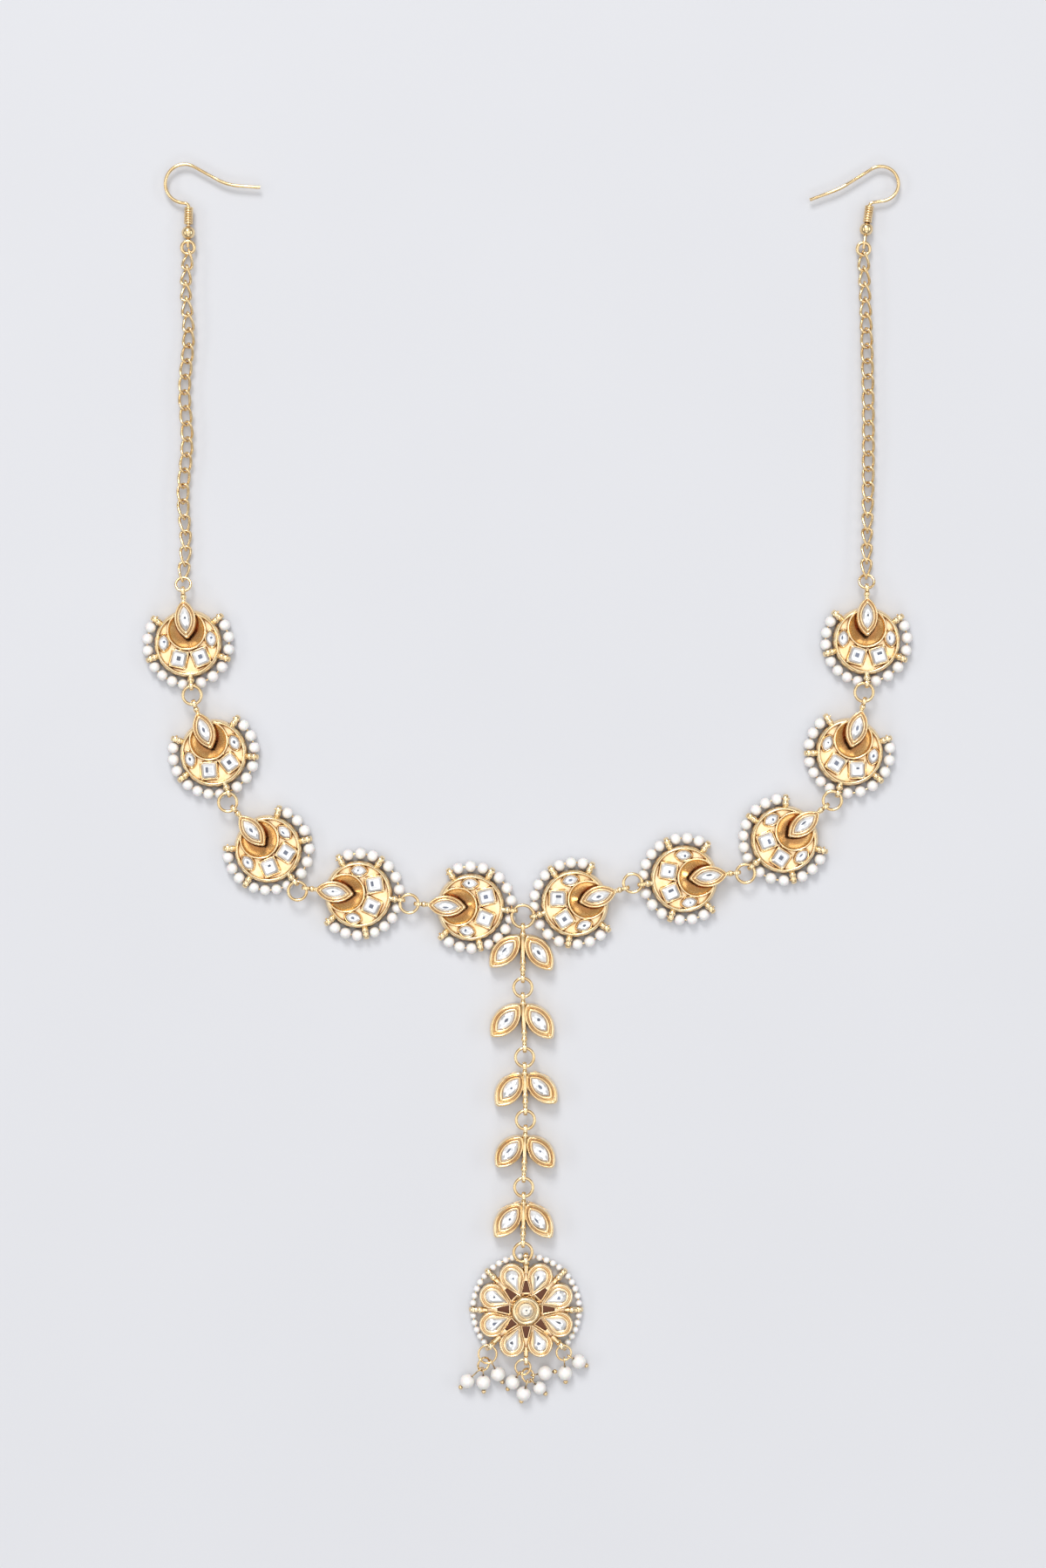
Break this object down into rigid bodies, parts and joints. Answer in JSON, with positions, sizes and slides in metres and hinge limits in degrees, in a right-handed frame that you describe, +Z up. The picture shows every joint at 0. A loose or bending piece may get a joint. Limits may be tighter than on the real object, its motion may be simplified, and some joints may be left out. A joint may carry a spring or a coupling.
{
  "type": "matha patti",
  "caption": "Head ornament: a curved band of crescent settings with pearl rims on two chains with ear hooks, and a centre strand of leaf pairs ending in a flower drop.",
  "frame": {"origin": "middle of the bounding box's bottom face: the table that the ornament lies on", "axes": "+X to the picture's right, +Y up the picture, from the flower drop to the ear hooks, +Z up from the table towards the stones"},
  "size_m": [0.1593, 0.2564, 0.0046],
  "materials": {
    "gold_metal": "polished gold plate",
    "clear_stone": "foil-backed cut glass",
    "centre_stone": "foil-backed rose-cut glass",
    "rim_pearl": "pearl lustre",
    "seed_bead": "glossy",
    "hanging_pearl": "pearl lustre"
  },
  "bodies": {
    "root": {"left_ear_hook": "gold_metal", "right_ear_hook": "gold_metal", "left_hook_coil": "gold_metal", "right_hook_coil": "gold_metal", "left_hook_ball": "gold_metal", "right_hook_ball": "gold_metal", "left_chain": "gold_metal", "right_chain": "gold_metal", "left_rings": "gold_metal", "right_rings": "gold_metal", "centre_ring": "gold_metal", "drop_rings": "gold_metal", "crescent_1": "gold_metal", "crescent_2": "gold_metal", "crescent_3": "gold_metal", "crescent_4": "gold_metal", "crescent_5": "gold_metal", "crescent_6": "gold_metal", "crescent_7": "gold_metal", "crescent_8": "gold_metal", "crescent_9": "gold_metal", "crescent_10": "gold_metal", "crescent_stones_1": "clear_stone", "crescent_stones_2": "clear_stone", "crescent_stones_3": "clear_stone", "crescent_stones_4": "clear_stone", "crescent_stones_5": "clear_stone", "crescent_stones_6": "clear_stone", "crescent_stones_7": "clear_stone", "crescent_stones_8": "clear_stone", "crescent_stones_9": "clear_stone", "crescent_stones_10": "clear_stone", "pearl_string_1": "rim_pearl", "pearl_string_2": "rim_pearl", "pearl_string_3": "rim_pearl", "pearl_string_4": "rim_pearl", "pearl_string_5": "rim_pearl", "pearl_string_6": "rim_pearl", "pearl_string_7": "rim_pearl", "pearl_string_8": "rim_pearl", "pearl_string_9": "rim_pearl", "pearl_string_10": "rim_pearl", "leaf_link_1": "gold_metal", "leaf_link_2": "gold_metal", "leaf_link_3": "gold_metal", "leaf_link_4": "gold_metal", "leaf_link_5": "gold_metal", "leaf_stones": "clear_stone", "flower": "gold_metal", "petal_stones": "clear_stone", "centre_stone": "centre_stone", "seed_bead_string": "seed_bead", "cluster_rings": "gold_metal", "head_pins": "gold_metal", "hanging_pearls": "hanging_pearl"}
  },
  "joints": []
}
